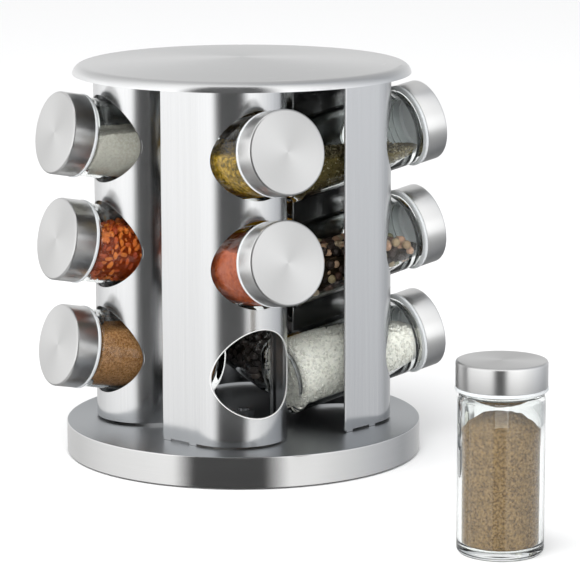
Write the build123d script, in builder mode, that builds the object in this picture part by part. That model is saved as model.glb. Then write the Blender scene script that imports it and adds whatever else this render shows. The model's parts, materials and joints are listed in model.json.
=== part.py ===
from build123d import *

import os
from math import cos, radians, sin

os.makedirs("parts", exist_ok=True)

# A turning spice carousel, in millimetres. Z is the spin axis, the counter is z = 0, and the open
# jar seat of the "front" holder faces -Y. The four holders are quarter turns of one another.

# ---- base and foot ----
base_radius = 95.0
base_bottom = 1.0
base_top = 17.2
base_sheet = 0.8
base_edge_round = 0.7
pad_radius = 82.0
pad_top = 1.5
foot_radius = 90.0
foot_top = 4.5
foot_lip_width = 2.0
foot_lip_top = 8.0
hub_radius = 10.0
hub_top = 9.0
hub_recess_radius = 8.5
hub_recess_top = 5.2

# ---- thrust bearing ----
ball_radius = 3.0
ball_count = 12
ball_circle = 54.0
ball_height = 8.6
groove_radius = ball_radius + 0.05
race_inner, race_outer = 46.5, 60.5
lower_race_bottom, lower_race_top = foot_top, 6.8
upper_race_bottom, upper_race_top = 10.4, 12.7
cage_inner, cage_outer = 49.0, 59.0
cage_bottom, cage_top = 7.8, 9.4
pocket_radius = ball_radius + 0.15
rivet_circle = 48.9
rivet_count = 4
rivet_shank_radius = 1.0
rivet_head_radius = 1.6
rivet_head_height = 0.5
rivet_length = 2.0
rivet_play = 0.05

# ---- pivot ----
bolt_radius = 3.0
bolt_running_clearance = 0.05
bolt_head_radius = 5.5
bolt_head_bottom, bolt_head_top = 1.9, 4.3
bolt_socket_radius = 2.3
bolt_socket_depth = 1.4
bolt_end = 21.6
bolt_play = 0.1
washer_radius = 7.5
washer_thickness = 0.6
washer_hole_radius = 3.2
nut_radius = 5.8
nut_height = 3.4

# ---- top ----
top_radius = 89.8
top_rim_bottom = 203.8
top_shoulder_radius = 84.3
top_shoulder_height = 208.8
top_dome_height = 211.8
top_sheet = 0.8
top_lip_radius = 87.6
top_lip_height = 0.6
inner_plate_radius = 88.6
inner_plate_sheet = 0.8

# ---- holders: one bent sheet each, a flat panel, a round column and a short inner leg ----
sheet = 0.7
column_centre = (-1.45, -51.84)
column_radius = 27.3
panel_turn = 39.7
panel_length = 25.8
leg_turn = 113.2
leg_length = 16.2
hem_fold_radius = 0.4
hem_length = 4.0
holder_bottom = 18.4
holder_top = top_rim_bottom + top_lip_height
tab_width = 5.0
tab_depth = 5.0
tab_rise = 3.0
tab_play = 0.3
panel_tabs = (2.8, 21.0)
leg_tab = 9.0

# ---- jar seats: round openings through the front of each column ----
seat_turn = 33.4
seat_tilt = 11.26
seat_radius = 22.8
seat_heights = {"top": 164.3, "middle": 107.9, "bottom": 50.8}
lid_reach = 55.0

# ---- jars: radii and heights along the jar, measured from its bottom ----
jar_height = 93.3
glass_radius = 20.8
glass_wall = 2.2
glass_floor = 3.8
glass_corner = 3.0
glass_push_up = 0.9
shoulder_start = 74.6
shoulder_end = 76.9
waist_radius = 19.5
ring_radius = 20.5
ring_top = 78.7
neck_radius = 18.0
mouth_radius = 16.2
mouth_height = 91.0
mouth_round = 0.8
thread_radius = 18.7
thread_heights = (82.6, 86.6)
thread_half_width = 0.9
lid_radius = 21.85
lid_sheet = 0.5
lid_round = 1.2
lid_skirt_bottom = 80.8
insert_bottom = 79.0
insert_flange_radius = 22.1
insert_flange_round = 0.5
insert_bore_radius = 19.0
insert_ceiling = 91.3
seal_outer, seal_inner = 15.7, 14.5
seal_bottom = 89.6
loose_jar_place = (133.2, -207.7)

quarters = {"front": 0, "right": 90, "back": 180, "left": 270}
empty_seat = ("front", "bottom")


def finish(part, name):
    """Label a finished piece and write it."""
    part.label = name
    export_step(part, f"parts/{name}.step")


def ring(name, inner, outer, bottom, top):
    """A flat washer-like ring about the spin axis."""
    with BuildPart() as piece:
        with BuildSketch(Plane.XY.offset(bottom)):
            Circle(outer)
            Circle(inner, mode=Mode.SUBTRACT)
        extrude(amount=top - bottom)
    finish(piece.part, name)


def race(name, bottom, top):
    """A bearing ring with a round ball groove and four rivet holes."""
    with BuildPart() as piece:
        with BuildSketch(Plane.XY.offset(bottom)):
            Circle(race_outer)
            Circle(race_inner, mode=Mode.SUBTRACT)
            with PolarLocations(rivet_circle, rivet_count):
                Circle(rivet_shank_radius + rivet_play, mode=Mode.SUBTRACT)
        extrude(amount=top - bottom)
        with BuildSketch(Plane.XZ):
            with Locations((ball_circle, ball_height)):
                Circle(groove_radius)
        revolve(axis=Axis.Z, mode=Mode.SUBTRACT)
    finish(piece.part, name)


def rivets(name, head_start, into):
    """Four rivets whose heads stand on a race; into is -1 for shanks going down, +1 for up."""
    with BuildPart() as piece:
        with BuildSketch(Plane.XY.offset(head_start)):
            with PolarLocations(rivet_circle, rivet_count):
                Circle(rivet_head_radius)
        extrude(amount=-into * rivet_head_height)
        with BuildSketch(Plane.XY.offset(head_start)):
            with PolarLocations(rivet_circle, rivet_count):
                Circle(rivet_shank_radius)
        extrude(amount=into * (lower_race_top - lower_race_bottom + rivet_length))
    finish(piece.part, name)


# ---------------------------------------------------------------- foot, on the counter
with BuildPart() as rubber_pad:
    Cylinder(pad_radius, pad_top, align=(Align.CENTER, Align.CENTER, Align.MIN))
    chamfer(rubber_pad.edges().group_by(Axis.Z)[0], length=0.5)
finish(rubber_pad.part, "rubber_pad")

with BuildPart() as foot_plate:
    with BuildSketch(Plane.XY.offset(pad_top)):
        Circle(foot_radius)
    extrude(amount=foot_top - pad_top)
    with BuildSketch(Plane.XY.offset(foot_top)):
        Circle(foot_radius)
        Circle(foot_radius - foot_lip_width, mode=Mode.SUBTRACT)
    extrude(amount=foot_lip_top - foot_top)
    with BuildSketch(Plane.XY.offset(foot_top)):
        Circle(hub_radius)
    extrude(amount=hub_top - foot_top)
    with BuildSketch(Plane.XY.offset(pad_top)):
        Circle(hub_recess_radius)
    extrude(amount=hub_recess_top - pad_top, mode=Mode.SUBTRACT)
    with BuildSketch(Plane.XY.offset(hub_recess_top)):
        Circle(bolt_radius + bolt_running_clearance)
    extrude(amount=hub_top - hub_recess_top, mode=Mode.SUBTRACT)
    with BuildSketch(Plane.XY.offset(foot_top)):
        with PolarLocations(rivet_circle, rivet_count):
            Circle(rivet_shank_radius + rivet_play)
    extrude(amount=-rivet_length - rivet_play, mode=Mode.SUBTRACT)
finish(foot_plate.part, "foot_plate")

race("lower_race", lower_race_bottom, lower_race_top)
rivets("lower_race_rivets", lower_race_top, -1)

# ---------------------------------------------------------------- balls and their cage
with BuildPart() as bearing_balls:
    with Locations((0, 0, ball_height)):
        with PolarLocations(ball_circle, ball_count):
            Sphere(ball_radius)
finish(bearing_balls.part, "bearing_balls")

with BuildPart() as ball_cage:
    with BuildSketch(Plane.XY.offset(cage_bottom)):
        Circle(cage_outer)
        Circle(cage_inner, mode=Mode.SUBTRACT)
        with PolarLocations(ball_circle, ball_count):
            Circle(pocket_radius, mode=Mode.SUBTRACT)
    extrude(amount=cage_top - cage_bottom)
finish(ball_cage.part, "ball_cage")

# ---------------------------------------------------------------- holders
leg_angle = radians(leg_turn)
panel_angle = radians(panel_turn)
centreline_radius = column_radius - sheet / 2
panel_direction = Vector(-cos(panel_angle), sin(panel_angle))
leg_direction = Vector(cos(leg_angle), sin(leg_angle))


def on_column(turn, radius):
    """A point around the front column; turn is counted from -Y towards +X, in degrees."""
    angle = radians(turn)
    return Vector(column_centre[0] + radius * sin(angle), column_centre[1] - radius * cos(angle))


panel_start = on_column(-panel_turn, centreline_radius)
panel_end = panel_start + panel_direction * panel_length
leg_start = on_column(leg_turn, centreline_radius)
leg_end = leg_start + leg_direction * leg_length

# Where the locking tabs stand on the front holder: x, y and the sheet's direction there.
tab_places = [Location(panel_end - panel_direction * along, (0, 0, -panel_turn)) for along in panel_tabs]
tab_places.append(Location(leg_start + leg_direction * leg_tab, (0, 0, leg_turn)))


def quarter_plane(height, turn):
    """A level plane at a height, turned about the spin axis."""
    return Plane.XY.offset(height).rotated((0, 0, turn))


def slotted_disc(name, radius, hole_radius, bottom, top, rivet_hole_depth=0):
    """A disc with a centre hole and slots for every holder's tabs."""
    with BuildPart() as piece:
        with BuildSketch(Plane.XY.offset(bottom)):
            Circle(radius)
            Circle(hole_radius, mode=Mode.SUBTRACT)
        extrude(amount=top - bottom)
        for turn in quarters.values():
            with BuildSketch(quarter_plane(bottom, turn)):
                with Locations(*tab_places):
                    Rectangle(tab_width + 2 * tab_play, sheet + 2 * tab_play)
            extrude(amount=top - bottom, mode=Mode.SUBTRACT)
        if rivet_hole_depth:
            with BuildSketch(Plane.XY.offset(bottom)):
                with PolarLocations(rivet_circle, rivet_count):
                    Circle(rivet_shank_radius + rivet_play)
            extrude(amount=rivet_hole_depth, mode=Mode.SUBTRACT)
    finish(piece.part, name)


def seat_axis(turn, height):
    """The line of a jar seat: it starts in the column's middle and rises outwards."""
    outwards = Vector(
        sin(radians(seat_turn)) * cos(radians(seat_tilt)),
        -cos(radians(seat_turn)) * cos(radians(seat_tilt)),
        sin(radians(seat_tilt)),
    ).rotate(Axis.Z, turn)
    start = Vector(column_centre[0], column_centre[1], height).rotate(Axis.Z, turn)
    return Axis(start, outwards)


def holder(name, turn):
    """One jar holder: the sheet, its hemmed edges, the tabs and three tilted jar seats."""
    with BuildPart() as piece:
        with BuildSketch(quarter_plane(holder_bottom, turn)):
            with BuildLine():
                fold = JernArc(panel_end, panel_direction, hem_fold_radius, -180)
                Line(fold @ 1, fold @ 1 - panel_direction * hem_length)
                Line(panel_end, panel_start)
                CenterArc(column_centre, centreline_radius, -90 - panel_turn, panel_turn + leg_turn)
                Line(leg_start, leg_end)
                end_fold = JernArc(leg_end, leg_direction, hem_fold_radius, 180)
                Line(end_fold @ 1, end_fold @ 1 - leg_direction * hem_length)
            trace(line_width=sheet)
        extrude(amount=holder_top - holder_bottom)
        with BuildSketch(quarter_plane(holder_bottom - tab_depth, turn)):
            with Locations(*tab_places):
                Rectangle(tab_width, sheet)
        extrude(amount=tab_depth + 1)
        with BuildSketch(quarter_plane(holder_top - 1, turn)):
            with Locations(*tab_places):
                Rectangle(tab_width, sheet)
        extrude(amount=tab_rise + 1)
        for height in seat_heights.values():
            axis = seat_axis(turn, height)
            with BuildSketch(Plane(origin=axis.position, z_dir=axis.direction)):
                Circle(seat_radius)
            extrude(amount=2 * column_radius, mode=Mode.SUBTRACT)
    finish(piece.part, name)


for side, turn in quarters.items():
    holder(f"holder_{side}", turn)

# ---------------------------------------------------------------- turning base
race("upper_race", upper_race_bottom, upper_race_top)
rivets("upper_race_rivets", upper_race_bottom, 1)

slotted_disc(
    "base_carrier",
    base_radius - base_sheet,
    bolt_radius + bolt_play,
    upper_race_top,
    base_top - base_sheet,
    rivet_length + rivet_play,
)

with BuildPart() as base_shell:
    with BuildSketch(Plane.XY.offset(base_bottom)):
        Circle(base_radius)
    extrude(amount=base_top - base_bottom)
    fillet(base_shell.edges().group_by(Axis.Z)[-1], radius=base_edge_round)
    with BuildSketch(Plane.XY.offset(base_bottom)):
        Circle(base_radius - base_sheet)
    extrude(amount=base_top - base_sheet - base_bottom, mode=Mode.SUBTRACT)
    with BuildSketch(Plane.XY.offset(base_top - base_sheet)):
        Circle(bolt_radius + bolt_play)
    extrude(amount=base_sheet, mode=Mode.SUBTRACT)
    for turn in quarters.values():
        with BuildSketch(quarter_plane(base_top - base_sheet, turn)):
            with Locations(*tab_places):
                Rectangle(tab_width + 2 * tab_play, sheet + 2 * tab_play)
        extrude(amount=base_sheet, mode=Mode.SUBTRACT)
finish(base_shell.part, "base_shell")

# ---------------------------------------------------------------- pivot
with BuildPart() as pivot_bolt:
    with BuildSketch(Plane.XY.offset(bolt_head_bottom)):
        Circle(bolt_head_radius)
    extrude(amount=bolt_head_top - bolt_head_bottom)
    chamfer(pivot_bolt.edges().group_by(Axis.Z)[0], length=0.4)
    with BuildSketch(Plane.XY.offset(bolt_head_top)):
        Circle(bolt_radius)
    extrude(amount=bolt_end - bolt_head_top)
    with BuildSketch(Plane.XY.offset(bolt_head_bottom)):
        RegularPolygon(bolt_socket_radius, 6)
    extrude(amount=bolt_socket_depth, mode=Mode.SUBTRACT)
finish(pivot_bolt.part, "pivot_bolt")

ring("pivot_washer", washer_hole_radius, washer_radius, bolt_head_top, bolt_head_top + washer_thickness)

with BuildPart() as pivot_nut:
    with BuildSketch(Plane.XY.offset(base_top)):
        RegularPolygon(nut_radius, 6)
        Circle(bolt_radius, mode=Mode.SUBTRACT)
    extrude(amount=nut_height)
finish(pivot_nut.part, "pivot_nut")

# ---------------------------------------------------------------- top
slotted_disc(
    "top_inner_plate",
    inner_plate_radius,
    bolt_radius + bolt_play,
    holder_top,
    holder_top + inner_plate_sheet,
)

with BuildPart() as top_plate:
    with BuildSketch(Plane.XZ):
        with BuildLine():
            dome = TangentArc((0, top_dome_height), (top_shoulder_radius, top_shoulder_height), tangent=(1, 0))
            TangentArc(dome @ 1, (top_radius, top_rim_bottom), tangent=dome % 1)
            Polyline(
                (top_radius, top_rim_bottom),
                (top_lip_radius, top_rim_bottom),
                (top_lip_radius, top_rim_bottom + top_lip_height),
                (top_radius - top_sheet, top_rim_bottom + top_lip_height),
            )
            inside = TangentArc(
                (0, top_dome_height - top_sheet),
                (top_shoulder_radius, top_shoulder_height - top_sheet),
                tangent=(1, 0),
            )
            TangentArc(inside @ 1, (top_radius - top_sheet, top_rim_bottom + top_lip_height), tangent=inside % 1)
            Line((0, top_dome_height), (0, top_dome_height - top_sheet))
        make_face()
    revolve(axis=Axis.Z)
finish(top_plate.part, "top_plate")


# ---------------------------------------------------------------- jars
def half_section(axis):
    """The plane of a jar's half section: local X is the radius, local Y runs up the jar."""
    across = Vector(1, 0, 0)
    if abs(axis.direction.X) + abs(axis.direction.Y) > 0.01:
        across = Vector(-axis.direction.Y, axis.direction.X, 0).normalized()
    return Plane(origin=axis.position, x_dir=across, z_dir=across.cross(axis.direction))


def jar_glass(name, axis):
    """A round glass jar with a thick floor, a shoulder, a ring under the lid and a threaded neck."""
    inner_radius = glass_radius - glass_wall
    push_up_edge = glass_radius - 2 * glass_corner
    inner_corner = glass_floor + glass_corner
    with BuildPart() as piece:
        with BuildSketch(half_section(axis)):
            with BuildLine():
                Line((0, glass_floor), (0, glass_push_up))
                TangentArc((0, glass_push_up), (push_up_edge, 0), tangent=(1, 0))
                Line((push_up_edge, 0), (glass_radius - glass_corner, 0))
                CenterArc((glass_radius - glass_corner, glass_corner), glass_corner, 270, 90)
                Line((glass_radius, glass_corner), (glass_radius, shoulder_start))
                shoulder = TangentArc((glass_radius, shoulder_start), (waist_radius, shoulder_end), tangent=(0, 1))
                ThreePointArc(shoulder @ 1, (ring_radius, (shoulder_end + ring_top) / 2), (waist_radius, ring_top))
                neck = [(waist_radius, ring_top), (neck_radius, ring_top)]
                for height in thread_heights:
                    neck.append((neck_radius, height - thread_half_width))
                    neck.append((thread_radius, height))
                    neck.append((neck_radius, height + thread_half_width))
                neck.append((neck_radius, mouth_height - mouth_round))
                Polyline(*neck)
                TangentArc(neck[-1], (neck_radius - mouth_round, mouth_height), tangent=(0, 1))
                Line((neck_radius - mouth_round, mouth_height), (mouth_radius, mouth_height))
                Line((mouth_radius, mouth_height), (mouth_radius, ring_top))
                TangentArc((mouth_radius, ring_top), (inner_radius, shoulder_start), tangent=(0, -1))
                Line((inner_radius, shoulder_start), (inner_radius, inner_corner))
                CenterArc((inner_radius - glass_corner, inner_corner), glass_corner, 0, -90)
                Line((inner_radius - glass_corner, glass_floor), (0, glass_floor))
            make_face()
        revolve(axis=axis)
    finish(piece.part, name)


def lid_insert(name, axis):
    """The plastic lining of a lid: a cup with a seal ring, and a flange below the steel skirt."""
    outer = lid_radius - lid_sheet
    top = jar_height - lid_sheet - 0.05
    with BuildPart() as piece:
        with BuildSketch(half_section(axis)):
            with BuildLine():
                Polyline(
                    (0, insert_ceiling),
                    (0, top),
                    (outer - lid_round, top),
                    (outer, top - lid_round),
                    (outer, lid_skirt_bottom),
                    (insert_flange_radius - insert_flange_round, lid_skirt_bottom),
                )
                ThreePointArc(
                    (insert_flange_radius - insert_flange_round, lid_skirt_bottom),
                    (insert_flange_radius, (insert_bottom + lid_skirt_bottom) / 2),
                    (insert_flange_radius - insert_flange_round, insert_bottom),
                )
                Polyline(
                    (insert_flange_radius - insert_flange_round, insert_bottom),
                    (insert_bore_radius, insert_bottom),
                    (insert_bore_radius, insert_ceiling),
                    (seal_outer, insert_ceiling),
                    (seal_outer, seal_bottom),
                    (seal_inner, seal_bottom),
                    (seal_inner, insert_ceiling),
                    (0, insert_ceiling),
                )
            make_face()
        revolve(axis=axis)
    finish(piece.part, name)


def lid_shell(name, axis):
    """The thin steel cap pressed over the plastic lining."""
    inner = lid_radius - lid_sheet
    inner_round = lid_round - lid_sheet
    with BuildPart() as piece:
        with BuildSketch(half_section(axis)):
            with BuildLine():
                Line((0, jar_height - lid_sheet), (0, jar_height))
                Line((0, jar_height), (lid_radius - lid_round, jar_height))
                CenterArc((lid_radius - lid_round, jar_height - lid_round), lid_round, 90, -90)
                Line((lid_radius, jar_height - lid_round), (lid_radius, lid_skirt_bottom))
                Line((lid_radius, lid_skirt_bottom), (inner, lid_skirt_bottom))
                Line((inner, lid_skirt_bottom), (inner, jar_height - lid_round))
                CenterArc((lid_radius - lid_round, jar_height - lid_round), inner_round, 0, 90)
                Line((lid_radius - lid_round, jar_height - lid_sheet), (0, jar_height - lid_sheet))
            make_face()
        revolve(axis=axis)
    finish(piece.part, name)


def jar(place, axis):
    """One complete jar, as its glass, its lid insert and its steel lid."""
    jar_glass(f"glass_{place}", axis)
    lid_insert(f"lid_insert_{place}", axis)
    lid_shell(f"lid_shell_{place}", axis)


for side, turn in quarters.items():
    for level, height in seat_heights.items():
        if (side, level) == empty_seat:
            continue
        seat = seat_axis(turn, height)
        bottom = seat.position + seat.direction * (lid_reach - jar_height)
        jar(f"{side}_{level}", Axis(bottom, seat.direction))

# The twelfth jar stands on the counter beside the rack.
jar("loose", Axis((*loose_jar_place, 0), (0, 0, 1)))
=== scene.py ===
import json
import math
import random

import bmesh
import bpy
from mathutils import Matrix, Vector, noise


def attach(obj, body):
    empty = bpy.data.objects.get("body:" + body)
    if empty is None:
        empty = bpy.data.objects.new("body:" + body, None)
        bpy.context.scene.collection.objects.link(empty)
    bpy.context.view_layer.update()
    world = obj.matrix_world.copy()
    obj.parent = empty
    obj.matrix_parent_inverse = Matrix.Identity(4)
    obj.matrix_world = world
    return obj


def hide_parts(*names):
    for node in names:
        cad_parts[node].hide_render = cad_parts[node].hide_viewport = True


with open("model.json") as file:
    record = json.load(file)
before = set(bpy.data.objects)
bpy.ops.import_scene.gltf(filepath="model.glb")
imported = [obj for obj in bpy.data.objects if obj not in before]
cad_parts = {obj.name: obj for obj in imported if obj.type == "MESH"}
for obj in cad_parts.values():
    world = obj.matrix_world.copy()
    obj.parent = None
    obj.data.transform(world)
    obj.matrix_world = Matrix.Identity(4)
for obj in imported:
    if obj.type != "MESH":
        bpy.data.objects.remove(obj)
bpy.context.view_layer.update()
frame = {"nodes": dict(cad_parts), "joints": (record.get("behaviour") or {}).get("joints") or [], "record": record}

# The spice carousel's looks. Lengths are millimetres, and MM turns them into metres, but the studio's
# lengths and what the materials' nodes measure are metres.
MM = 0.001
SEED = 12

# ---- camera and light: metres, radians and, for the lens and its sensor, millimetres ----
CAMERA_PLACE = (0.0918, -1.6621, 0.4045)
CAMERA_YAW = -0.0400
CAMERA_PITCH = 0.1890
CAMERA_ROLL = -0.0020
CAMERA_LENS = 196.14
CAMERA_SENSOR = 36.0
CAMERA_REACH = 50.0
WORLD_LIGHT = 1.5

# ---- jar sections, from the jar's bottom up ----
JAR_HEIGHT = 93.3
GLASS_RADIUS = 20.8
GLASS_INSIDE = 18.6
GLASS_FLOOR = 3.8
GLASS_CORNER = 3.0
SHOULDER_START = 74.6
SHOULDER_END = 76.9
RING_TOP = 78.7
NECK_RADIUS = 18.0
THREAD_HEIGHTS = (82.6, 86.6)
THREAD_RADIUS = 18.7
THREAD_EDGE = 18.55
THREAD_FLAT = 0.35
THREAD_HALF = 0.9
MOUTH_RADIUS = 16.2
MOUTH_HEIGHT = 91.0
LID_RADIUS = 21.85
LID_SHEET = 0.5
LID_ROUND = 1.2
LID_SKIRT = 80.8
INSERT_BOTTOM = 79.0
INSERT_FLANGE = 22.1
SEAL_TOP = 91.3
SEAL_OUTER = 15.7
SEAL_INNER = 14.5
SEAL_FOOT = 89.9
ROUND_STEPS = 96
GLASS_SMOOTH = 50

# ---- the holders' columns and seats, and the bead that draws each seat's cut edge and paints its highlight ----
COLUMN_CENTRE = (-1.45, -51.84)
COLUMN_RADIUS = 27.3
SEAT_RADIUS = 22.8
RIM_RADIUS = 0.25
# The empty seat's bead is thicker, for its wider painted highlight.
OPEN_RIM_RADIUS = 0.38
RIM_DEPTH = 0.25  # how far the bead's line lies inside the column's face
RIM_CLEARANCE = 0.2  # how far it lies outside the seat's edge
RIM_STEPS = 128
RIM_CORNERS = 8
QUARTERS = {"front": 0, "right": 90, "back": 180, "left": 270}

# ---- the spices in the jars ----
FILL_STEPS = 64
FILL_NECK = 77.5
FILL_TOP = 89.0
TOP_LAYER = 1.2  # how deep a powder's points may lie and still get the uneven top
TOP_MARGIN = 0.3  # how far from the glass they start
TOP_BUMPS = 0.16  # bumps a millimetre
TOP_EASE = 3.0  # how far from the glass the bumps are full
GRAIN_TRIES = 60000
GRAIN_LAYER = 1.6  # how deep the grains are packed, in spacings
GRAIN_PATTERN = 1500  # marks a metre
POWDER_DEPTH = 0.0003  # metres


# ------------------------------------------------------------------ node helpers
def grey(value):
    """A grey of one brightness."""
    return (value, value, value)


def new_material(name, color, roughness, metallic=0.0, **sockets):
    """A material with one Principled shader; sockets are its other inputs, with _ for each space."""
    material = bpy.data.materials.new(name)
    material.use_nodes = True
    shader = material.node_tree.nodes["Principled BSDF"]
    shader.inputs["Base Color"].default_value = (*color, 1.0)
    shader.inputs["Roughness"].default_value = roughness
    shader.inputs["Metallic"].default_value = metallic
    for socket, value in sockets.items():
        shader.inputs[socket.replace("_", " ")].default_value = value
    return material, material.node_tree, shader


def add_node(tree, kind, **settings):
    """A node with its properties set."""
    node = tree.nodes.new(kind)
    for key, value in settings.items():
        setattr(node, key, value)
    return node


def math_node(tree, operation, first, second=None):
    """A Math node; each input is a socket or a number."""
    node = add_node(tree, "ShaderNodeMath", operation=operation)
    for slot, value in enumerate((first, second)):
        if isinstance(value, (int, float)):
            node.inputs[slot].default_value = value
        elif value is not None:
            tree.links.new(value, node.inputs[slot])
    return node.outputs[0]


def object_coordinates(tree, scale=(1, 1, 1)):
    """Object coordinates, scaled along each axis."""
    place = add_node(tree, "ShaderNodeTexCoord")
    mapping = add_node(tree, "ShaderNodeMapping")
    mapping.inputs["Scale"].default_value = scale
    tree.links.new(place.outputs["Object"], mapping.inputs["Vector"])
    return mapping.outputs[0]


def coordinate_axes(tree, kind):
    """The X, Y and Z of one kind of coordinates, such as Object or Normal."""
    place = add_node(tree, "ShaderNodeTexCoord")
    split = add_node(tree, "ShaderNodeSeparateXYZ")
    tree.links.new(place.outputs[kind], split.inputs[0])
    return split.outputs


def turned_coordinates(tree, across, around):
    """Coordinates for marks that run round the Z axis: fine across the marks, slow along them."""
    x, y, z = coordinate_axes(tree, "Object")
    squares = math_node(tree, "ADD", math_node(tree, "MULTIPLY", x, x), math_node(tree, "MULTIPLY", y, y))
    radius = math_node(tree, "SQRT", squares)
    angle = math_node(tree, "ARCTAN2", y, x)
    join = add_node(tree, "ShaderNodeCombineXYZ")
    tree.links.new(math_node(tree, "MULTIPLY", math_node(tree, "ADD", radius, z), across), join.inputs[0])
    tree.links.new(math_node(tree, "MULTIPLY", math_node(tree, "COSINE", angle), around), join.inputs[1])
    tree.links.new(math_node(tree, "MULTIPLY", math_node(tree, "SINE", angle), around), join.inputs[2])
    return join.outputs[0]


def noise_value(tree, vector, scale=1.0, detail=3.0, roughness=0.5):
    """A noise texture's value."""
    node = add_node(tree, "ShaderNodeTexNoise")
    node.inputs["Scale"].default_value = scale
    node.inputs["Detail"].default_value = detail
    node.inputs["Roughness"].default_value = roughness
    tree.links.new(vector, node.inputs["Vector"])
    return node.outputs["Fac"]


def to_range(tree, value, low, high, new_low, new_high):
    """value mapped from one range to another, clamped."""
    node = add_node(tree, "ShaderNodeMapRange")
    for slot, number in zip(("From Min", "From Max", "To Min", "To Max"), (low, high, new_low, new_high)):
        node.inputs[slot].default_value = number
    tree.links.new(value, node.inputs["Value"])
    return node.outputs["Result"]


def color_ramp(tree, value, stops):
    """Colours along a value; stops are (place, colour)."""
    node = add_node(tree, "ShaderNodeValToRGB")
    elements = node.color_ramp.elements
    while len(elements) < len(stops):
        elements.new(0.5)
    for element, (place, color) in zip(elements, stops):
        element.position = place
        element.color = (*color, 1.0)
    tree.links.new(value, node.inputs[0])
    return node.outputs[0]


def multiply_colors(tree, first, second):
    """The product of two colour outputs."""
    mix = add_node(tree, "ShaderNodeMix", data_type="RGBA", blend_type="MULTIPLY")
    mix.inputs["Factor"].default_value = 1.0
    tree.links.new(first, mix.inputs["A"])
    tree.links.new(second, mix.inputs["B"])
    return mix.outputs["Result"]


def add_bump(tree, shader, height, strength, distance):
    """A bump on the shader's normal."""
    node = add_node(tree, "ShaderNodeBump")
    node.inputs["Strength"].default_value = strength
    node.inputs["Distance"].default_value = distance
    tree.links.new(height, node.inputs["Height"])
    tree.links.new(node.outputs[0], shader.inputs["Normal"])


# ------------------------------------------------------------------ materials
def upright_marks(tree):
    """Coordinates of scratches that run up and down."""
    return object_coordinates(tree, (3200, 3200, 12))


def turned_marks(tree):
    """Coordinates of scratches that run round the Z axis."""
    return turned_coordinates(tree, 3200, 2.5)


def brushed_steel(
    name, color, roughness, marks=turned_marks, anisotropy=0.6, turn=0.25, spread=0.03, tint=0.03, bump=0.03
):
    """Brushed steel: marks gives the scratches' coordinates, turn the smear's angle in full turns."""
    material, tree, shader = new_material(
        name, color, roughness, metallic=1.0, Anisotropic=anisotropy, Anisotropic_Rotation=turn
    )
    vector = marks(tree)
    fine = noise_value(tree, vector, scale=1.0, detail=4.0, roughness=0.65)
    varied = to_range(tree, fine, 0.3, 0.7, roughness - spread, roughness + spread)
    tree.links.new(varied, shader.inputs["Roughness"])
    dark = tuple(c * (1 - tint) for c in color)
    light = tuple(min(1.0, c * (1 + tint)) for c in color)
    tree.links.new(color_ramp(tree, fine, [(0.3, dark), (0.7, light)]), shader.inputs["Base Color"])
    tangent = add_node(tree, "ShaderNodeTangent", direction_type="RADIAL", axis="Z")
    tree.links.new(tangent.outputs[0], shader.inputs["Tangent"])
    add_bump(tree, shader, fine, bump, 0.00002)
    return material


def tint_base(tree, shader, factor):
    """Multiplies the base colour by a factor output."""
    source = shader.inputs["Base Color"].links[0].from_socket
    tree.links.new(multiply_colors(tree, source, factor), shader.inputs["Base Color"])


def painted_spin_highlight(material, highlight_at, depth):
    """Painted reflection: the pale and dull fans that a spun disc's brushing throws, two of each, round a lid."""
    tree = material.node_tree
    x, y, _ = coordinate_axes(tree, "Object")
    turned = math_node(tree, "SUBTRACT", math_node(tree, "ARCTAN2", y, x), highlight_at)
    wave = math_node(tree, "COSINE", math_node(tree, "MULTIPLY", turned, 2.0))
    tint_base(tree, tree.nodes["Principled BSDF"], to_range(tree, wave, -1.0, 1.0, 1.0 - depth, 1.0))


def tint_between(tree, shader, value, low, high, before, after):
    """Multiplies the base colour by one colour at low and another at high."""
    share = to_range(tree, value, low, high, 0.0, 1.0)
    tint_base(tree, shader, color_ramp(tree, share, [(0.0, before), (1.0, after)]))


def rough_and_shaded_top(material, top_shade, rougher=0.0):
    """A flat top painted darker than the side of the same pressing (painted shade), and rougher by the given
    amount.
    """
    tree = material.node_tree
    shader = tree.nodes["Principled BSDF"]
    upward = coordinate_axes(tree, "Normal")[2]
    tint_between(tree, shader, upward, 0.4, 0.9, grey(1.0), top_shade)
    side_roughness = shader.inputs["Roughness"].links[0].from_socket
    added = to_range(tree, upward, 0.4, 0.9, 0.0, rougher)
    tree.links.new(math_node(tree, "ADD", side_roughness, added), shader.inputs["Roughness"])


def paint_inward_shade(material, share):
    """Painted shade: the faces of a sheet that look towards the spin axis are darkened by a share, for the dark
    closed inside of the rack.
    """
    tree = material.node_tree
    place = add_node(tree, "ShaderNodeTexCoord")
    product = add_node(tree, "ShaderNodeVectorMath", operation="DOT_PRODUCT")
    tree.links.new(place.outputs["Normal"], product.inputs[0])
    tree.links.new(place.outputs["Object"], product.inputs[1])
    outward = product.outputs["Value"]
    tint_between(tree, tree.nodes["Principled BSDF"], outward, -0.004, 0.0, grey(share), grey(1.0))


def clear_glass(name, ior):
    """Soda glass with a faint green tint, slightly uneven; lamps shine through it."""
    material, tree, shader = new_material(
        name, (0.935, 0.955, 0.947), 0.0, IOR=ior, Transmission_Weight=1.0
    )
    wave = noise_value(tree, object_coordinates(tree, (60, 60, 25)), scale=1.0, detail=1.0)
    add_bump(tree, shader, wave, 0.06, 0.0004)
    clear = add_node(tree, "ShaderNodeBsdfTransparent")
    clear.inputs[0].default_value = (0.97, 0.985, 0.98, 1.0)
    path = add_node(tree, "ShaderNodeLightPath")
    mix = add_node(tree, "ShaderNodeMixShader")
    tree.links.new(path.outputs["Is Shadow Ray"], mix.inputs[0])
    tree.links.new(shader.outputs[0], mix.inputs[1])
    tree.links.new(clear.outputs[0], mix.inputs[2])
    output = next(n for n in tree.nodes if n.type == "OUTPUT_MATERIAL")
    tree.links.new(mix.outputs[0], output.inputs["Surface"])
    return material


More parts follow.
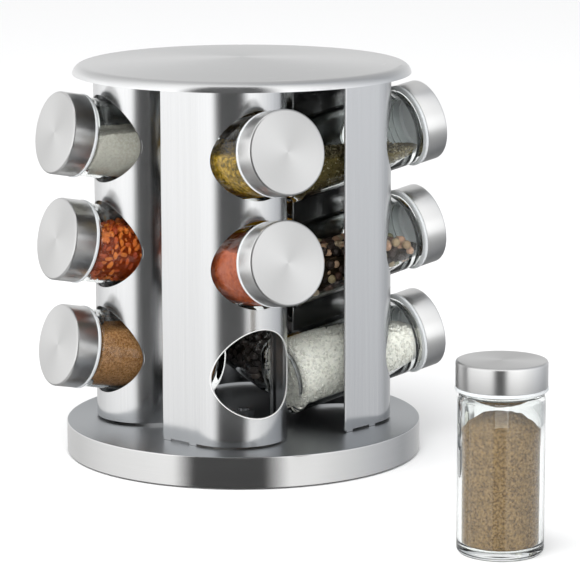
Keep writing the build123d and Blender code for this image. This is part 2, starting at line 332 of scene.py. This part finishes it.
def moulded_plastic(name, color, roughness, grain=0.25, subsurface=0.0):
    """Moulded plastic: a very fine grain and a slight unevenness of gloss."""
    material, tree, shader = new_material(name, color, roughness, Subsurface_Weight=subsurface)
    shader.inputs["Subsurface Radius"].default_value = (0.004, 0.004, 0.004)
    vector = object_coordinates(tree)
    fine = noise_value(tree, vector, scale=2600, detail=2.0)
    broad = noise_value(tree, vector, scale=90, detail=2.0)
    gloss = to_range(tree, broad, 0.3, 0.7, roughness - 0.06, roughness + 0.08)
    tree.links.new(gloss, shader.inputs["Roughness"])
    dark = tuple(c * 0.93 for c in color)
    tree.links.new(color_ramp(tree, broad, [(0.35, dark), (0.65, color)]), shader.inputs["Base Color"])
    add_bump(tree, shader, fine, grain, 0.00004)
    return material


def powder(name, stops, scale=900, grain=0.5):
    """Ground spice: a mottled colour with a granular surface."""
    material, tree, shader = new_material(name, stops[0][1], 1.0, Specular_IOR_Level=0.0)
    fine = noise_value(tree, object_coordinates(tree), scale=scale, detail=3.0, roughness=0.7)
    tree.links.new(color_ramp(tree, fine, stops), shader.inputs["Base Color"])
    add_bump(tree, shader, fine, grain, POWDER_DEPTH)
    return material


def grain_material(name, stops, roughness=0.6):
    """Whole grains: each has its own colour, from the number stored on its points."""
    material, tree, shader = new_material(name, stops[0][1], roughness, Specular_IOR_Level=0.35)
    attribute = add_node(tree, "ShaderNodeAttribute", attribute_name="grain", attribute_type="GEOMETRY")
    fine = noise_value(tree, object_coordinates(tree), scale=GRAIN_PATTERN, detail=3.0)
    base = color_ramp(tree, attribute.outputs["Fac"], stops)
    shade = color_ramp(tree, fine, [(0.3, grey(0.62)), (0.7, grey(1.0))])
    tree.links.new(multiply_colors(tree, base, shade), shader.inputs["Base Color"])
    add_bump(tree, shader, fine, 0.4, 0.0002)
    return material


HOLDER_STEEL = brushed_steel(
    "holder_steel", (0.70, 0.705, 0.71), roughness=0.19, marks=upright_marks, turn=0.0, tint=0.045
)
# Painted shade: the holders' faces that look towards the spin axis, inside the closed rack, are darkened.
paint_inward_shade(HOLDER_STEEL, share=0.28)
# The seats' cut edges are a pale satin surface, only partly metal, that paints their bright highlight.
CUT_EDGE_HIGHLIGHT = moulded_plastic("cut_edge_highlight", (0.90, 0.90, 0.89), roughness=0.45, grain=0.1)
CUT_EDGE_HIGHLIGHT.node_tree.nodes["Principled BSDF"].inputs["Metallic"].default_value = 0.4
BASE_STEEL = brushed_steel("base_steel", (0.72, 0.72, 0.715), roughness=0.18)
# Painted shade: the base's top is painted darker and cooler than its side; it is also rougher.
rough_and_shaded_top(BASE_STEEL, (0.53, 0.555, 0.585), rougher=0.18)
TOP_STEEL = brushed_steel("top_steel", (0.80, 0.805, 0.81), roughness=0.20, spread=0.015, tint=0.01)
# Painted shade: the top plate's flat top is painted darker than its rim; it is also a little rougher.
rough_and_shaded_top(TOP_STEEL, grey(0.78), rougher=0.06)
LID_STEEL = brushed_steel(
    "lid_steel", (0.83, 0.83, 0.825), roughness=0.31, spread=0.02, tint=0.012, bump=0.012
)
# Painted shade: the lid's flat face is painted darker than its side.
rough_and_shaded_top(LID_STEEL, grey(0.80))
# Painted reflection: fixed pale and dull fans round each lid, in place of a spun finish's reflections.
painted_spin_highlight(LID_STEEL, highlight_at=math.radians(140), depth=0.16)
PLAIN_STEEL = brushed_steel("plain_steel", (0.40, 0.41, 0.42), roughness=0.35, anisotropy=0.0, turn=0.0)
BALL_STEEL = brushed_steel(
    "ball_steel", (0.75, 0.75, 0.77), roughness=0.08, anisotropy=0.0, turn=0.0, spread=0.02, tint=0.02
)
WHITE_PLASTIC = moulded_plastic("lid_plastic", (0.62, 0.64, 0.65), 0.32, grain=0.08, subsurface=0.15)
BLACK_PLASTIC = moulded_plastic("black_plastic", (0.022, 0.022, 0.023), 0.5)
CAGE_PLASTIC = moulded_plastic("cage_plastic", (0.62, 0.60, 0.55), 0.45)
RUBBER = moulded_plastic("rubber", (0.03, 0.03, 0.03), 0.85, grain=0.6)
# At 1.50 the pale room's reflection veils the racked jars' spices, so their glass reflects less.
GLASS = clear_glass("jar_glass", ior=1.30)
THICK_GLASS = clear_glass("jar_glass_thick", ior=1.50)


# ------------------------------------------------------------------ mesh helpers
def new_object(name, data):
    """An object in the scene."""
    made = bpy.data.objects.new(name, data)
    bpy.context.scene.collection.objects.link(made)
    return made


def mesh_from(built, name):
    """A mesh made from a bmesh, which is freed."""
    mesh = bpy.data.meshes.new(name)
    built.to_mesh(mesh)
    built.free()
    return mesh


def put_mesh(name, mesh, material, body, place=Matrix.Identity(4), smooth_angle=35):
    """An object for a mesh, shaded smooth but for its sharp edges, riding on a body."""
    piece = new_object(name, mesh)
    mesh.materials.append(material)
    soften(mesh, smooth_angle)
    piece.matrix_world = place
    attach(piece, body)
    return piece


def soften(mesh, angle):
    """Smooth shading, with edges sharper than the angle kept sharp."""
    mesh.polygons.foreach_set("use_smooth", [True] * len(mesh.polygons))
    mesh.set_sharp_from_angle(angle=math.radians(angle))


def arc(centre, radius, start, end, steps=8):
    """Points on a circle's arc in a section, from start to end in degrees."""
    points = []
    for step in range(steps + 1):
        angle = math.radians(start + (end - start) * step / steps)
        points.append((centre[0] + radius * math.cos(angle), centre[1] + radius * math.sin(angle)))
    return points


def lathe(outline, steps=ROUND_STEPS, closed=True):
    """A mesh turned from a section of (radius, height) points in millimetres, about its own Z."""
    built = bmesh.new()
    rings = []
    for radius, height in outline:
        if radius < 1e-6:
            rings.append([built.verts.new((0, 0, height * MM))])
            continue
        reach = radius * MM
        ring = []
        for step in range(steps):
            angle = math.tau * step / steps
            ring.append(built.verts.new((reach * math.cos(angle), reach * math.sin(angle), height * MM)))
        rings.append(ring)
    pairs = list(zip(rings, rings[1:]))
    if closed and len(rings[0]) > 1 and len(rings[-1]) > 1:
        pairs.append((rings[-1], rings[0]))
    for lower, upper in pairs:
        for step in range(steps):
            after = (step + 1) % steps
            corners = [lower[step % len(lower)], lower[after % len(lower)]]
            corners += [upper[after % len(upper)], upper[step % len(upper)]]
            corners = list(dict.fromkeys(corners))
            if len(corners) > 2:
                built.faces.new(corners)
    bmesh.ops.recalc_face_normals(built, faces=built.faces)
    return mesh_from(built, "lathe")


# ------------------------------------------------------------------ jars
PLACES = sorted(node.removeprefix("glass_") for node in frame["nodes"] if node.startswith("glass_"))
AXES = {joint["child"]: Vector(joint["axis"]).normalized() for joint in frame["joints"]}


def jar_place(place):
    """The matrix of a jar: its Z runs up the jar from the bottom's middle, its Y leans towards the sky."""
    up = AXES["jar_" + place]
    side = Vector((0, 0, 1)).cross(up)
    side = side.normalized() if side.length > 0.01 else Vector((1, 0, 0))
    lean = up.cross(side)
    corners = [v.co for v in frame["nodes"]["glass_" + place].data.vertices]
    middle = Vector((0, 0, 0))
    for direction in (side, lean):
        reach = [corner.dot(direction) for corner in corners]
        middle += direction * (min(reach) + max(reach)) / 2
    middle += up * min(corner.dot(up) for corner in corners)
    matrix = Matrix((side, lean, up)).transposed().to_4x4()
    matrix.translation = middle
    return matrix


def glass_outline():
    """The jar's closed section: outside up, over the mouth, inside down to the floor."""
    outside = [(0, 0.9), (6, 0.75), (11, 0.35), (14.8, 0.0)]
    outside += arc((GLASS_RADIUS - GLASS_CORNER, GLASS_CORNER), GLASS_CORNER, 270, 360)
    outside += [(GLASS_RADIUS, 20), (GLASS_RADIUS, 50), (GLASS_RADIUS, SHOULDER_START)]
    outside += arc((GLASS_RADIUS - 2.3, SHOULDER_START), 2.3, 12, 72, 6)
    outside += arc((19.5, (SHOULDER_END + RING_TOP) / 2), 0.9, -85, 85, 8)
    outside += [(NECK_RADIUS, RING_TOP + 0.1)]
    for height in THREAD_HEIGHTS:
        outside += [(NECK_RADIUS, height - THREAD_HALF), (THREAD_EDGE, height - THREAD_FLAT)]
        outside += [(THREAD_RADIUS, height), (THREAD_EDGE, height + THREAD_FLAT)]
        outside += [(NECK_RADIUS, height + THREAD_HALF)]
    outside += arc((NECK_RADIUS - 0.8, MOUTH_HEIGHT - 0.8), 0.8, 0, 90, 5)
    inside = arc((MOUTH_RADIUS + 0.4, MOUTH_HEIGHT - 0.4), 0.4, 90, 180, 4)
    inside += [(MOUTH_RADIUS, RING_TOP), (MOUTH_RADIUS + 0.25, 77.6), (MOUTH_RADIUS + 0.95, 76.4)]
    inside += [(GLASS_INSIDE - 0.4, 75.4), (GLASS_INSIDE, SHOULDER_START)]
    inside += [(GLASS_INSIDE, 50), (GLASS_INSIDE, 20)]
    inside += arc((GLASS_INSIDE - GLASS_CORNER, GLASS_FLOOR + GLASS_CORNER), GLASS_CORNER, 0, -90)
    inside += [(0, GLASS_FLOOR + 0.1)]
    return outside + inside


def lid_shell_outline():
    """The steel cap: a thin flat-topped cup with a rounded edge and a small inward roll at its foot."""
    inner = LID_RADIUS - LID_SHEET
    outside = [(0, JAR_HEIGHT), (10, JAR_HEIGHT), (16, JAR_HEIGHT)]
    outside += arc((LID_RADIUS - LID_ROUND, JAR_HEIGHT - LID_ROUND), LID_ROUND, 90, 0)
    outside += arc((LID_RADIUS - 0.25, LID_SKIRT + 0.25), 0.25, 0, -180, 6)
    inside = arc((LID_RADIUS - LID_ROUND, JAR_HEIGHT - LID_ROUND), LID_ROUND - LID_SHEET, 0, 90, 5)
    return outside + [(inner, JAR_HEIGHT - LID_ROUND)] + inside + [(0, JAR_HEIGHT - LID_SHEET)]


def lid_insert_outline():
    """The white lining: cup, flange below the steel, and seal ring."""
    outer = LID_RADIUS - LID_SHEET - 0.02
    top = JAR_HEIGHT - LID_SHEET - 0.05
    points = [(0, top), (outer - LID_ROUND, top), (outer, top - LID_ROUND), (outer, LID_SKIRT - 0.05)]
    points += arc((INSERT_FLANGE - 0.55, LID_SKIRT - 0.6), 0.55, 90, 0, 5)
    points += arc((INSERT_FLANGE - 0.55, INSERT_BOTTOM + 0.55), 0.55, 0, -90, 5)
    points += [(19.3, INSERT_BOTTOM), (19.0, INSERT_BOTTOM + 0.3), (19.0, SEAL_TOP)]
    points += [(SEAL_OUTER, SEAL_TOP), (SEAL_OUTER, SEAL_FOOT)]
    points += arc(((SEAL_OUTER + SEAL_INNER) / 2, SEAL_FOOT), (SEAL_OUTER - SEAL_INNER) / 2, 0, -180, 6)
    points += [(SEAL_INNER, SEAL_TOP), (0, SEAL_TOP)]
    return points


def build_jar(place):
    """One jar's glass, lining and steel cap, as turned shells in place of the CAD ones."""
    matrix = jar_place(place)
    jar = "jar_" + place
    lid = "lid_" + place
    clear = THICK_GLASS if place == "loose" else GLASS
    turned = lathe(glass_outline())
    glass = put_mesh("jar_glass_" + place, turned, clear, jar, matrix, GLASS_SMOOTH)
    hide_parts("glass_" + place)
    turned = lathe(lid_insert_outline())
    insert = put_mesh("lid_lining_" + place, turned, WHITE_PLASTIC, lid, matrix)
    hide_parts("lid_insert_" + place)
    turned = lathe(lid_shell_outline())
    shell = put_mesh("lid_cap_" + place, turned, LID_STEEL, lid, matrix)
    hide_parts("lid_shell_" + place)
    return matrix


# ------------------------------------------------------------------ steel and the inner works
def dress_cad_nodes():
    """Materials and smooth shading for the CAD nodes that stay."""
    dress = {
        "base_shell": BASE_STEEL, "top_plate": TOP_STEEL, "foot_plate": BLACK_PLASTIC,
        "base_carrier": BLACK_PLASTIC, "rubber_pad": RUBBER, "ball_cage": CAGE_PLASTIC,
        "bearing_balls": BALL_STEEL,
    }
    for name, node in frame["nodes"].items():
        if name.startswith(("glass_", "lid_")):
            continue
        finish = HOLDER_STEEL if name.startswith("holder") else dress.get(name, PLAIN_STEEL)
        node.data.materials.clear()
        node.data.materials.append(finish)
        soften(node.data, 30)


def seat_rim(name, origin, up, side, bead):
    """One seat's cut edge with a painted highlight: a fine pale bead along the line where the seat leaves its
    column.
    """
    turn = Matrix.Rotation(math.radians(QUARTERS[side]), 3, "Z")
    centre = turn @ Vector((*COLUMN_CENTRE, 0)) * MM
    across = up.cross(Vector((0, 0, 1))).normalized()
    lean = across.cross(up)
    reach = (COLUMN_RADIUS - RIM_DEPTH) * MM
    line = []
    for step in range(RIM_STEPS):
        angle = math.tau * step / RIM_STEPS
        toward = across * math.cos(angle) + lean * math.sin(angle)
        start = origin + toward * (SEAT_RADIUS + RIM_CLEARANCE) * MM
        flat = (start - centre).xy
        along = up.xy
        half = flat.dot(along) / along.dot(along)
        rest = (flat.dot(flat) - reach * reach) / along.dot(along)
        line.append(start + up * (math.sqrt(half * half - rest) - half))
    built = bmesh.new()
    rings = []
    for step, spot in enumerate(line):
        forward = (line[(step + 1) % RIM_STEPS] - line[step - 1]).normalized()
        outward = (spot - origin - up * (spot - origin).dot(up)).normalized()
        over = forward.cross(outward)
        ring = []
        for corner in range(RIM_CORNERS):
            angle = math.tau * corner / RIM_CORNERS
            toward = outward * math.cos(angle) + over * math.sin(angle)
            ring.append(built.verts.new(spot + toward * bead * MM))
        rings.append(ring)
    for ring, after in zip(rings, rings[1:] + rings[:1]):
        for corner in range(RIM_CORNERS):
            beside = (corner + 1) % RIM_CORNERS
            built.faces.new((ring[corner], after[corner], after[beside], ring[beside]))
    bmesh.ops.recalc_face_normals(built, faces=built.faces)
    put_mesh(name, mesh_from(built, name), CUT_EDGE_HIGHLIGHT, "rack", smooth_angle=80)


def build_seat_rims():
    """A painted highlight rim for every seat, the empty one too."""
    empty = next(m for m in frame["record"]["mounts"] if "r_mm" in m["dims"])
    up = Vector(empty["axis"]).normalized()
    seat_rim("seat_rim_front_bottom", Vector(empty["pos_m"]), up, "front", OPEN_RIM_RADIUS)
    for place in PLACES:
        if place != "loose":
            matrix = jar_place(place)
            up = matrix.to_3x3() @ Vector((0, 0, 1))
            seat_rim("seat_rim_" + place, matrix.translation, up, place.split("_")[0], RIM_RADIUS)


dress_cad_nodes()
build_seat_rims()
jar_matrices = {place: build_jar(place) for place in PLACES}


# ------------------------------------------------------------------ spices
def fill_outline(gap):
    """The hollow of a jar, drawn in by a gap, as a closed section."""
    radius = GLASS_INSIDE - gap
    floor = GLASS_FLOOR + gap
    points = [(0, floor)]
    points += arc((radius - GLASS_CORNER, floor + GLASS_CORNER), GLASS_CORNER, 270, 360, 6)
    points += [(radius, SHOULDER_START - gap), (MOUTH_RADIUS - gap, FILL_NECK)]
    return points + [(MOUTH_RADIUS - gap, FILL_TOP - gap), (0, FILL_TOP - gap)]


def level_plane(place, matrix, level):
    """The spice's level surface in jar coordinates: a point on it and its upward normal, in metres."""
    up = (matrix.to_3x3().inverted() @ Vector((0, 0, 1))).normalized()
    if place == "loose":
        return Vector((0, 0, level * MM)), up
    return Vector((0, 0, JAR_HEIGHT * MM / 2)) + up * level * MM, up


def filled_solid(point, normal, gap):
    """The hollow of a jar below a plane, as a bmesh."""
    mesh = lathe(fill_outline(gap), FILL_STEPS, closed=False)
    built = bmesh.new()
    built.from_mesh(mesh)
    bpy.data.meshes.remove(mesh)
    whole = built.verts[:] + built.edges[:] + built.faces[:]
    cut = bmesh.ops.bisect_plane(built, geom=whole, plane_co=point, plane_no=normal, clear_outer=True)
    edges = [item for item in cut["geom_cut"] if isinstance(item, bmesh.types.BMEdge)]
    bmesh.ops.edgeloop_fill(built, edges=edges)
    bmesh.ops.recalc_face_normals(built, faces=built.faces)
    return built


def fill_mesh(place, matrix, level, gap=0.2, voxel=0.8, rough=0.5, heap=0.0):
    """Ground spice: a jar's hollow below its level, remeshed, with an uneven top."""
    point, normal = level_plane(place, matrix, level)
    mesh = mesh_from(filled_solid(point, normal, gap), "fill")
    piece = new_object("fill", mesh)
    remesh = piece.modifiers.new("Remesh", "REMESH")
    remesh.mode = "VOXEL"
    remesh.voxel_size = voxel * MM
    bpy.context.view_layer.update()
    evaluated = piece.evaluated_get(bpy.context.evaluated_depsgraph_get())
    fine = bpy.data.meshes.new_from_object(evaluated)
    bpy.data.objects.remove(piece)
    bpy.data.meshes.remove(mesh)
    offset = Vector((hash_number(place), level, 0))
    for vertex in fine.vertices:
        below = (point - vertex.co).dot(normal) / MM
        radius = math.hypot(vertex.co.x, vertex.co.y) / MM
        if below < TOP_LAYER and radius < GLASS_INSIDE - gap - TOP_MARGIN:
            bumps = noise.fractal(vertex.co / MM * TOP_BUMPS + offset, 1.0, 2.0, 4)
            ease = min(1.0, (GLASS_INSIDE - gap - radius) / TOP_EASE)
            lift = rough * bumps * ease - rough * 0.5 + heap * (1 - (radius / GLASS_INSIDE) ** 2) * ease
            vertex.co += normal * lift * MM
    return fine


def hash_number(text):
    """A steady number for a name."""
    return sum((index + 1) * ord(letter) for index, letter in enumerate(text)) % 97


def build_powder(place, matrix, level, material, **shape):
    """A jar's ground spice."""
    mesh = fill_mesh(place, matrix, level, **shape)
    put_mesh("spice_" + place, mesh, material, "jar_" + place, matrix, 80)


def grain_prototype(kind):
    """Vertices and faces of one grain of unit half-size, centred on the origin."""
    built = bmesh.new()
    if kind == "crystal":
        bmesh.ops.create_cube(built, size=1.7)
        bmesh.ops.bevel(built, geom=built.edges[:], offset=0.22, segments=1, affect="EDGES")
    elif kind == "flake":
        bmesh.ops.create_icosphere(built, subdivisions=1, radius=1.0)
        for vertex in built.verts:
            vertex.co.z *= 0.14
            vertex.co.y *= 0.42
            vertex.co.z += 0.28 * vertex.co.x ** 2
    elif kind == "lentil":
        bmesh.ops.create_icosphere(built, subdivisions=2, radius=1.0)
        for vertex in built.verts:
            vertex.co.z *= 0.46
            vertex.co.z += 0.12 * noise.noise(vertex.co * 1.8)
            vertex.co.x *= 1.0 + 0.14 * noise.noise(vertex.co * 1.1 + Vector((4, 0, 0)))
    elif kind == "seed":
        bmesh.ops.create_icosphere(built, subdivisions=1, radius=1.0)
        for vertex in built.verts:
            vertex.co.z *= 0.36
            vertex.co.y *= 0.36
            vertex.co.z += 0.10 * vertex.co.x ** 2
    else:
        bmesh.ops.create_icosphere(built, subdivisions=2, radius=1.0)
        for vertex in built.verts:
            wrinkle = noise.noise(vertex.co * 2.6) + 0.5 * noise.noise(vertex.co * 5.5)
            vertex.co *= 1.0 + 0.07 * wrinkle
    vertices = [vertex.co.copy() for vertex in built.verts]
    faces = [[vertex.index for vertex in face.verts] for face in built.faces]
    built.free()
    return vertices, faces


def packed_places(source, point, normal, spacing, gap, depth):
    """Places for grains by the glass and the top surface, none nearer than the spacing."""
    radius = GLASS_INSIDE - gap
    floor = GLASS_FLOOR + gap
    ceiling = SHOULDER_START - gap
    taken = {}
    places = []
    for _ in range(GRAIN_TRIES):
        angle = source.uniform(0, math.tau)
        reach = radius * math.sqrt(source.random())
        spot = Vector((reach * math.cos(angle), reach * math.sin(angle), source.uniform(floor, ceiling)))
        below = (point / MM - spot).dot(normal)
        if below < 0:
            continue
        if min(below, radius - reach, spot.z - floor) > depth:
            continue
        key = tuple(math.floor(length / spacing) for length in spot)
        near = (
            other
            for x in (-1, 0, 1) for y in (-1, 0, 1) for z in (-1, 0, 1)
            for other in taken.get((key[0] + x, key[1] + y, key[2] + z), ())
        )
        if any((other - spot).length_squared < spacing * spacing for other in near):
            continue
        taken.setdefault(key, []).append(spot)
        places.append(spot)
    return places


def build_grains(place, matrix, level, kind, size, spacing, material, core, vary=0.2):
    """A jar of whole grains: a core, which for most spices is painted darker than the grains as the shade among
    deeper grains, and packed grains where they show.
    """
    source = random.Random(SEED + hash_number(place))
    point, normal = level_plane(place, matrix, level)
    depth = spacing * GRAIN_LAYER
    prototype, faces = grain_prototype(kind)
    places = packed_places(source, point, normal, spacing, size * 0.75, depth)
    vertices, all_faces, shades = [], [], []
    for spot in places:
        angle = source.uniform(0, math.tau)
        axis = Vector([source.gauss(0, 1) for _ in range(3)]).normalized()
        turn = Matrix.Rotation(angle, 3, axis)
        stretch = size * source.uniform(1 - vary, 1 + vary)
        start = len(vertices)
        vertices.extend((spot + turn @ corner * stretch) * MM for corner in prototype)
        all_faces.extend([start + index for index in face] for face in faces)
        shades.extend([source.random()] * len(prototype))
    mesh = bpy.data.meshes.new("grains")
    mesh.from_pydata(vertices, [], all_faces)
    mesh.attributes.new("grain", "FLOAT", "POINT").data.foreach_set("value", shades)
    keep_inside(mesh)
    put_mesh("spice_" + place, mesh, material, "jar_" + place, matrix, 40)
    inner = fill_mesh(place, matrix, level - depth * 0.55, gap=max(0.9, spacing * 0.55), voxel=1.6, rough=0.6)
    put_mesh("spice_core_" + place, inner, core, "jar_" + place, matrix, 80)


def keep_inside(mesh):
    """Pulls grain corners that poke into the glass back to its inner wall and floor."""
    limit = (GLASS_INSIDE - 0.12) * MM
    floor = (GLASS_FLOOR + 0.2) * MM
    for vertex in mesh.vertices:
        reach = math.hypot(vertex.co.x, vertex.co.y)
        if reach > limit:
            vertex.co.x *= limit / reach
            vertex.co.y *= limit / reach
        vertex.co.z = max(vertex.co.z, floor)


SALT = powder("salt_fine", [(0.3, (0.32, 0.305, 0.265)), (0.7, (0.47, 0.45, 0.40))], scale=700, grain=0.5)
CINNAMON = powder("cinnamon", [(0.36, (0.14, 0.065, 0.024)), (0.64, (0.34, 0.18, 0.080))], scale=850)
CURRY = powder(
    "curry",
    [(0.36, (0.07, 0.05, 0.008)), (0.46, (0.20, 0.12, 0.010)), (0.58, (0.38, 0.23, 0.02)),
     (0.72, (0.55, 0.38, 0.09))],
    scale=420, grain=0.9,
)
PAPRIKA = powder("paprika", [(0.35, (0.23, 0.040, 0.012)), (0.65, (0.42, 0.095, 0.030))], scale=480)
GINGER = powder("ginger", [(0.38, (0.075, 0.042, 0.015)), (0.62, (0.26, 0.17, 0.075))], scale=820, grain=0.9)
TURMERIC = powder("turmeric", [(0.3, (0.50, 0.22, 0.01)), (0.7, (0.78, 0.40, 0.03))], scale=1400)
# The cores below the grains are painted much darker than the grains themselves: painted shade in the gaps between
# grains. The coarse salt's core is not darker.
LENTIL = grain_material(
    "lentil", [(0.0, (0.27, 0.030, 0.004)), (0.45, (0.46, 0.075, 0.008)), (1.0, (0.68, 0.19, 0.026))]
)
LENTIL_SHADE_CORE = powder("lentil_shade_core", [(0.3, (0.10, 0.012, 0.003)), (0.7, (0.22, 0.035, 0.006))])
HERB = grain_material(
    "herb",
    [(0.0, (0.05, 0.040, 0.017)), (0.4, (0.14, 0.110, 0.05)), (0.7, (0.28, 0.23, 0.12)),
     (1.0, (0.62, 0.54, 0.37))],
)
HERB_SHADE_CORE = powder("herb_shade_core", [(0.3, (0.05, 0.04, 0.012)), (0.7, (0.16, 0.125, 0.05))])
PEPPER = grain_material(
    "pepper",
    [(0.0, (0.022, 0.015, 0.012)), (0.42, (0.06, 0.034, 0.026)), (0.50, (0.22, 0.09, 0.05)),
     (0.62, (0.40, 0.31, 0.18)), (0.73, (0.18, 0.19, 0.08)), (0.84, (0.50, 0.29, 0.19)),
     (1.0, (0.52, 0.42, 0.28))],
)
PEPPER_SHADE_CORE = powder("pepper_shade_core", [(0.3, (0.010, 0.007, 0.005)), (0.7, (0.03, 0.02, 0.012))])
CRYSTAL = grain_material(
    "salt_coarse", [(0.0, (0.72, 0.695, 0.63)), (1.0, (0.88, 0.865, 0.81))], roughness=0.3
)
CRYSTAL_CORE = powder("salt_core", [(0.3, (0.68, 0.66, 0.60)), (0.7, (0.86, 0.84, 0.78))])
SEEDS = grain_material("cumin", [(0.0, (0.20, 0.12, 0.05)), (1.0, (0.46, 0.33, 0.17))])
SEEDS_SHADE_CORE = powder("cumin_shade_core", [(0.3, (0.07, 0.04, 0.015)), (0.7, (0.15, 0.09, 0.04))])
ALLSPICE = grain_material("allspice", [(0.0, (0.035, 0.028, 0.026)), (1.0, (0.13, 0.105, 0.095))])
ALLSPICE_SHADE_CORE = powder("allspice_shade_core", [(0.3, (0.012, 0.010, 0.009)), (0.7, (0.03, 0.025, 0.022))])


def build_spices():
    """Every jar's contents: the level is above the jar's middle, or above its floor for the loose jar."""
    powders = {
        "left_top": (8.5, SALT, 0.8, 0.0),
        "left_bottom": (16.0, CINNAMON, 0.8, 0.0),
        "front_top": (4.5, CURRY, 1.2, 0.0),
        "front_middle": (12.0, PAPRIKA, 0.9, 0.0),
        "back_middle": (10.0, TURMERIC, 0.9, 0.0),
        "loose": (62.0, GINGER, 1.2, 9.0),
    }
    for place, (level, material, rough, heap) in powders.items():
        build_powder(place, jar_matrices[place], level, material, rough=rough, heap=heap)
    grains = {
        "left_middle": (13.0, "lentil", 2.1, 2.5, LENTIL, LENTIL_SHADE_CORE, 0.2),
        "right_top": (-3.0, "flake", 1.25, 1.05, HERB, HERB_SHADE_CORE, 0.2),
        "right_middle": (3.0, "peppercorn", 2.35, 4.1, PEPPER, PEPPER_SHADE_CORE, 0.12),
        "right_bottom": (13.0, "crystal", 0.75, 1.25, CRYSTAL, CRYSTAL_CORE, 0.2),
        "back_top": (9.0, "seed", 2.4, 1.9, SEEDS, SEEDS_SHADE_CORE, 0.2),
        "back_bottom": (8.0, "peppercorn", 1.7, 3.0, ALLSPICE, ALLSPICE_SHADE_CORE, 0.12),
    }
    for place, (level, kind, size, spacing, material, core, vary) in grains.items():
        build_grains(place, jar_matrices[place], level, kind, size, spacing, material, core, vary)


build_spices()


# ------------------------------------------------------------------ studio
def build_floor():
    """A wide, plain, pale floor."""
    built = bmesh.new()
    bmesh.ops.create_grid(built, x_segments=2, y_segments=2, size=6.0)
    floor = new_object("floor", mesh_from(built, "floor"))
    floor.data.materials.append(new_material("floor_white", grey(0.93), 0.9, Specular_IOR_Level=0.1)[0])
    floor.visible_glossy = False


def build_flag(name, left, right, high, distance, ease, shade):
    """A dark, soft-edged flag in front of the object, which only shows in reflections."""
    mesh = bpy.data.meshes.new(name)
    low = -distance
    front = -distance
    corners = [(left, front, low), (right, front, low), (right, front, high), (left, front, high)]
    mesh.from_pydata(corners, [], [(0, 1, 2, 3)])
    flag = new_object(name, mesh)
    material, tree, shader = new_material(name, grey(shade), 1.0, Specular_IOR_Level=0.0)
    across = coordinate_axes(tree, "Object")[0]
    rising = to_range(tree, across, left, left + ease, 0.0, 1.0)
    falling = to_range(tree, across, right - ease, right, 1.0, 0.0)
    tree.links.new(math_node(tree, "MULTIPLY", rising, falling), shader.inputs["Alpha"])
    mesh.materials.append(material)
    flag.visible_camera = False
    flag.visible_diffuse = False
    flag.visible_shadow = False
    flag.visible_transmission = False


def build_world():
    """Soft light from all round: brightest in front and at the front left, dimmer right, behind and below."""
    world = bpy.data.worlds.new("studio")
    bpy.context.scene.world = world
    world.use_nodes = True
    tree = world.node_tree
    x, y, z = coordinate_axes(tree, "Generated")
    bearing = math_node(tree, "ARCTAN2", x, math_node(tree, "MULTIPLY", y, -1.0))
    share = to_range(tree, bearing, -math.pi, math.pi, 0.0, 1.0)
    sides = color_ramp(
        tree, share,
        [(0.0, grey(0.55)), (0.14, grey(0.66)), (0.24, grey(0.88)), (0.36, grey(1.0)), (0.62, grey(0.99)),
         (0.69, (0.78, 0.785, 0.79)), (0.77, (0.57, 0.58, 0.60)), (0.86, (0.36, 0.37, 0.385)),
         (1.0, grey(0.55))],
    )
    height = to_range(tree, z, -1.0, 1.0, 0.0, 1.0)
    heights = color_ramp(
        tree, height,
        [(0.20, grey(0.34)), (0.33, grey(0.50)), (0.375, grey(0.72)), (0.42, grey(0.92)), (0.45, grey(1.0)),
         (0.60, grey(1.0)), (0.72, grey(0.82)), (1.0, grey(0.82))],
    )
    background = tree.nodes["Background"]
    tree.links.new(multiply_colors(tree, sides, heights), background.inputs[0])
    background.inputs[1].default_value = WORLD_LIGHT


def build_lamp(name, place, target, size, power):
    """A soft area lamp aimed at a point."""
    light = bpy.data.lights.new(name, "AREA")
    light.shape = "RECTANGLE"
    light.size, light.size_y = size
    light.energy = power
    lamp = new_object(name, light)
    lamp.location = place
    lamp.rotation_euler = (Vector(target) - Vector(place)).to_track_quat("-Z", "Y").to_euler()
    lamp.visible_glossy = False


def build_camera():
    """The viewpoint: low, a little to the right, through a long lens."""
    data = bpy.data.cameras.new("camera")
    data.lens = CAMERA_LENS
    data.sensor_width = CAMERA_SENSOR
    data.clip_end = CAMERA_REACH
    camera = new_object("camera", data)
    forward = Vector((
        math.sin(CAMERA_YAW) * math.cos(CAMERA_PITCH),
        math.cos(CAMERA_YAW) * math.cos(CAMERA_PITCH),
        -math.sin(CAMERA_PITCH),
    ))
    look = forward.to_track_quat("-Z", "Y").to_matrix()
    roll = Matrix.Rotation(CAMERA_ROLL, 3, "Z")
    camera.matrix_world = Matrix.Translation(CAMERA_PLACE) @ (look @ roll).to_4x4()
    bpy.context.scene.camera = camera


build_floor()
build_flag("far_flag", left=-1.1, right=0.8, high=2.0, distance=3.0, ease=0.35, shade=0.07)
build_flag("near_flag", left=-0.132, right=0.098, high=0.6, distance=0.2, ease=0.05, shade=0.13)
build_world()
build_lamp("key_lamp", place=(-0.5, -0.9, 1.9), target=(0, 0, 0.1), size=(1.8, 1.8), power=26.0)
build_lamp("front_lamp", place=(0.1, -2.4, 0.9), target=(0, 0, 0.1), size=(1.6, 1.0), power=16.0)
build_camera()
bpy.context.scene.view_settings.view_transform = "Standard"
